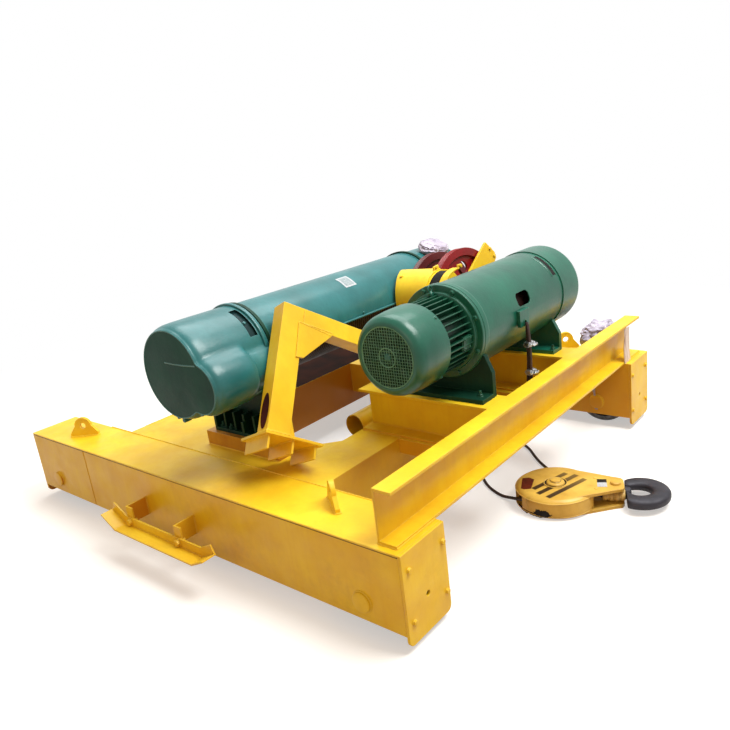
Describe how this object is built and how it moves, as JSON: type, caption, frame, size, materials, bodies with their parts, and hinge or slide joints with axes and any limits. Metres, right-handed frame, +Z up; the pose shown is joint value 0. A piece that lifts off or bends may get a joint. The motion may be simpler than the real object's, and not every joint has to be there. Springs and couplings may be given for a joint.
{
  "type": "hoist trolley of a double-girder overhead crane",
  "caption": "Welded yellow trolley frame on rail wheels with a main and a small green wire-rope hoist, upper rope sheaves, a loose bracket and a hook block lying beside it.",
  "frame": {"origin": "centre of the trolley's box, at the bottom of its wheels, without the rope, the hook block and the hook", "axes": "+X along the rails and the end beams, +Y from the front end beam to the rear one, +Z up"},
  "size_m": [2.562, 2.174, 0.9507],
  "materials": {
    "yellow_paint": "gloss enamel",
    "green_paint": "gloss enamel",
    "dark_green_paint": "gloss enamel",
    "red_paint": "satin primer",
    "dark_steel": "oiled",
    "hook_steel": "satin",
    "wire_rope": "greased wire rope",
    "wrapping_film": "crinkled film"
  },
  "bodies": {
    "trolley": {"end_beams": "yellow_paint", "end_plates": "yellow_paint", "left_longitudinal_beam": "yellow_paint", "middle_longitudinal_beam": "yellow_paint", "cross_decks": "yellow_paint", "small_cross_members": "yellow_paint", "right_channel": "yellow_paint", "deck_corner_gussets": "yellow_paint", "lifting_lugs": "yellow_paint", "striker_bar": "yellow_paint", "striker_brackets": "yellow_paint", "edge_pipe": "yellow_paint", "wheels": "dark_steel", "main_packing_bars": "yellow_paint", "main_gear_cover": "green_paint", "main_front_foot": "dark_green_paint", "main_casing": "green_paint", "main_rear_foot": "dark_green_paint", "main_motor_cover": "green_paint", "small_saddles": "yellow_paint", "small_fan_cover": "green_paint", "small_fan_grille": "dark_steel", "small_motor_body": "dark_green_paint", "small_front_foot": "dark_green_paint", "small_casing": "green_paint", "small_drum": "red_paint", "small_rear_foot": "dark_green_paint", "small_gear_cover": "green_paint", "rope_anchor": "green_paint", "sheave_side_plates": "yellow_paint", "sheave_guard": "yellow_paint", "sheave_pin": "dark_steel", "block_casing": "yellow_paint", "block_sheave": "red_paint", "block_axle": "dark_steel", "block_crosshead": "dark_steel", "block_rope": "wire_rope", "wrapped_bundles": "wrapping_film", "bracket_post_and_arm": "yellow_paint", "bracket_plates": "yellow_paint"},
    "main_drum_body": {"main_drum": "red_paint"},
    "left_sheave_body": {"upper_sheave_left": "red_paint"},
    "right_sheave_body": {"upper_sheave_right": "red_paint"},
    "hook_body": {"hook": "hook_steel"}
  },
  "joints": [
    {"name": "main_drum_spin", "type": "hinge", "parent": "trolley", "child": "main_drum_body", "pos_m": [0.09, -0.007, 0.735], "axis": [0, 1, 0], "continuous": true},
    {"name": "upper_sheave_left_spin", "type": "hinge", "parent": "trolley", "child": "left_sheave_body", "pos_m": [0.33604, 0.49375, 0.72245], "axis": [0.9745, -0.1718, 0.1444], "continuous": true},
    {"name": "upper_sheave_right_spin", "type": "hinge", "parent": "trolley", "child": "right_sheave_body", "pos_m": [0.49196, 0.46625, 0.74555], "axis": [0.9745, -0.1718, 0.1444], "continuous": true},
    {"name": "hook_swivel", "type": "hinge", "parent": "trolley", "child": "hook_body", "pos_m": [1.27901, 0.17306, 0.04], "axis": [0.91, 0.4147, 0], "continuous": true}
  ]
}
